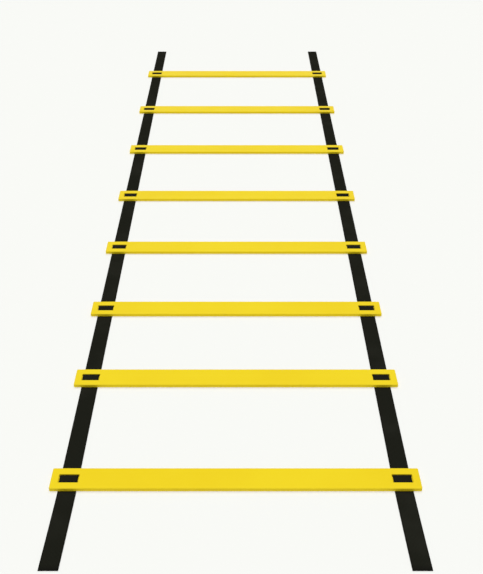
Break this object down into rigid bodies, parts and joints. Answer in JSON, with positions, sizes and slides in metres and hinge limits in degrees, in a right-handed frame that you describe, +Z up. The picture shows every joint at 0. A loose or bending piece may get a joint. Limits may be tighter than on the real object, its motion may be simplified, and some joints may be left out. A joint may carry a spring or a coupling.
{
  "type": "agility ladder",
  "caption": "Flat training ladder laid on the ground: moulded plastic rungs threaded on two webbing straps, sliding along them and folding up like a concertina.",
  "frame": {"origin": "on the ground, halfway along the straps and midway between them", "axes": "+X across the ladder to the right when rung 1 is nearest, +Y along the straps from rung 1 to rung 8, +Z up"},
  "size_m": [0.5, 2.032, 0.0072],
  "materials": {
    "webbing": "black woven webbing, matt, with fine ribs along it and a plain selvedge",
    "rung_plastic": "bright yellow moulded plastic, satin, with a fine moulded grain and softly rounded edges"
  },
  "bodies": {
    "section_1": {"left_strap_1": "webbing", "right_strap_1": "webbing"},
    "section_2": {"left_strap_2": "webbing", "right_strap_2": "webbing"},
    "section_3": {"left_strap_3": "webbing", "right_strap_3": "webbing"},
    "section_4": {"left_strap_4": "webbing", "right_strap_4": "webbing"},
    "section_5": {"left_strap_5": "webbing", "right_strap_5": "webbing"},
    "section_6": {"left_strap_6": "webbing", "right_strap_6": "webbing"},
    "section_7": {"left_strap_7": "webbing", "right_strap_7": "webbing"},
    "section_8": {"left_strap_8": "webbing", "right_strap_8": "webbing"},
    "rung_1": {"rung_1": "rung_plastic"},
    "rung_2": {"rung_2": "rung_plastic"},
    "rung_3": {"rung_3": "rung_plastic"},
    "rung_4": {"rung_4": "rung_plastic"},
    "rung_5": {"rung_5": "rung_plastic"},
    "rung_6": {"rung_6": "rung_plastic"},
    "rung_7": {"rung_7": "rung_plastic"},
    "rung_8": {"rung_8": "rung_plastic"}
  },
  "joints": [
    {"name": "fold_1", "type": "hinge", "parent": "section_1", "child": "section_2", "pos_m": [0, -0.74465, 0.0007], "axis": [1, 0, 0], "range_deg": [-170, 170], "deforming": ["left_strap_1", "right_strap_1", "left_strap_2", "right_strap_2"]},
    {"name": "fold_2", "type": "hinge", "parent": "section_2", "child": "section_3", "pos_m": [0, -0.53016, 0.0007], "axis": [-1, 0, 0], "range_deg": [-170, 170], "deforming": ["left_strap_2", "right_strap_2", "left_strap_3", "right_strap_3"]},
    {"name": "fold_3", "type": "hinge", "parent": "section_3", "child": "section_4", "pos_m": [0, -0.32042, 0.0007], "axis": [1, 0, 0], "range_deg": [-170, 170], "deforming": ["left_strap_3", "right_strap_3", "left_strap_4", "right_strap_4"]},
    {"name": "fold_4", "type": "hinge", "parent": "section_4", "child": "section_5", "pos_m": [0, -0.09705, 0.0007], "axis": [-1, 0, 0], "range_deg": [-170, 170], "deforming": ["left_strap_4", "right_strap_4", "left_strap_5", "right_strap_5"]},
    {"name": "fold_5", "type": "hinge", "parent": "section_5", "child": "section_6", "pos_m": [0, 0.14114, 0.0007], "axis": [1, 0, 0], "range_deg": [-170, 170], "deforming": ["left_strap_5", "right_strap_5", "left_strap_6", "right_strap_6"]},
    {"name": "fold_6", "type": "hinge", "parent": "section_6", "child": "section_7", "pos_m": [0, 0.39414, 0.0007], "axis": [-1, 0, 0], "range_deg": [-170, 170], "deforming": ["left_strap_6", "right_strap_6", "left_strap_7", "right_strap_7"]},
    {"name": "fold_7", "type": "hinge", "parent": "section_7", "child": "section_8", "pos_m": [0, 0.66136, 0.0007], "axis": [1, 0, 0], "range_deg": [-170, 170], "deforming": ["left_strap_7", "right_strap_7", "left_strap_8", "right_strap_8"]},
    {"name": "rung_1_slide", "type": "slide", "parent": "section_1", "child": "rung_1", "axis": [0, -1, 0], "range_m": [-0.05, 0.05], "deforming": ["left_strap_1", "right_strap_1"]},
    {"name": "rung_2_slide", "type": "slide", "parent": "section_2", "child": "rung_2", "axis": [0, 1, 0], "range_m": [-0.05, 0.05], "deforming": ["left_strap_2", "right_strap_2"]},
    {"name": "rung_3_slide", "type": "slide", "parent": "section_3", "child": "rung_3", "axis": [0, -1, 0], "range_m": [-0.05, 0.05], "deforming": ["left_strap_3", "right_strap_3"]},
    {"name": "rung_4_slide", "type": "slide", "parent": "section_4", "child": "rung_4", "axis": [0, 1, 0], "range_m": [-0.05, 0.05], "deforming": ["left_strap_4", "right_strap_4"]},
    {"name": "rung_5_slide", "type": "slide", "parent": "section_5", "child": "rung_5", "axis": [0, -1, 0], "range_m": [-0.05, 0.05], "deforming": ["left_strap_5", "right_strap_5"]},
    {"name": "rung_6_slide", "type": "slide", "parent": "section_6", "child": "rung_6", "axis": [0, 1, 0], "range_m": [-0.05, 0.05], "deforming": ["left_strap_6", "right_strap_6"]},
    {"name": "rung_7_slide", "type": "slide", "parent": "section_7", "child": "rung_7", "axis": [0, -1, 0], "range_m": [-0.05, 0.05], "deforming": ["left_strap_7", "right_strap_7"]},
    {"name": "rung_8_slide", "type": "slide", "parent": "section_8", "child": "rung_8", "axis": [0, 1, 0], "range_m": [-0.05, 0.05], "deforming": ["left_strap_8", "right_strap_8"]}
  ]
}
